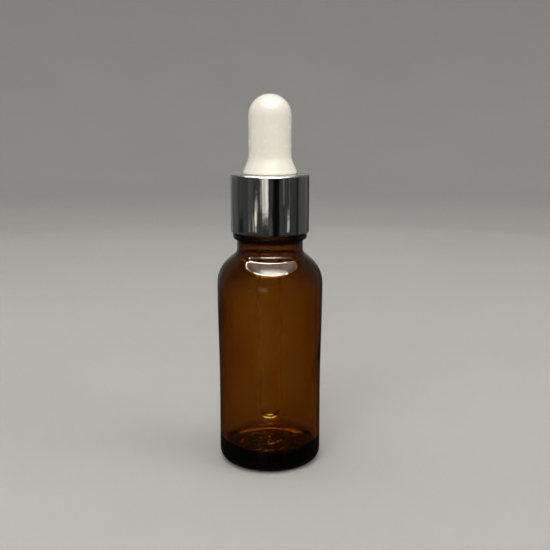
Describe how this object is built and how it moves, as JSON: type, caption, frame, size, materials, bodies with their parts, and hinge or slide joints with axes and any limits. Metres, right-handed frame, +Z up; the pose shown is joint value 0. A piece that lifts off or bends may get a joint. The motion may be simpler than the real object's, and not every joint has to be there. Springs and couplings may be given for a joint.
{
  "type": "dropper bottle",
  "caption": "Small amber glass bottle with a screw-on dropper: threaded cap in a polished metal collar, squeezable rubber bulb and glass pipette.",
  "frame": {"origin": "centre of the bottle's base, on the surface it stands on", "axes": "+Z up along the bottle's axis; +X is the direction in which the bulb is pinched; the shape is turned about Z apart from the threads"},
  "size_m": [0.0286, 0.0286, 0.1001],
  "materials": {
    "amber_glass": "polished transparent amber",
    "clear_glass": "polished clear",
    "polished_metal": "mirror polished",
    "cap_plastic": "moulded satin",
    "white_rubber": "soft satin"
  },
  "bodies": {
    "bottle": {"glass_bottle": "amber_glass"},
    "dropper": {"glass_pipette": "clear_glass"},
    "cap": {"inner_cap": "cap_plastic", "collar_shell": "polished_metal"},
    "bulb": {"rubber_bulb": "white_rubber"}
  },
  "joints": [
    {"name": "dropper_lift", "type": "slide", "parent": "bottle", "child": "dropper", "axis": [0, 0, 1], "range_m": [0, 0.075]},
    {"name": "cap_turn", "type": "hinge", "parent": "dropper", "child": "cap", "pos_m": [0, 0, 0.0715], "axis": [0, 0, 1], "range_deg": [0, 9000]},
    {"name": "bulb_squeeze", "type": "slide", "parent": "cap", "child": "bulb", "axis": [1, 0, 0], "range_m": [0, 0.003], "stiffness_N_per_m": 300, "deforming": ["rubber_bulb"]}
  ],
  "couplings": [
    {"joint": "cap_turn", "follows": "dropper_lift", "rad_per_m": 2094.4}
  ]
}
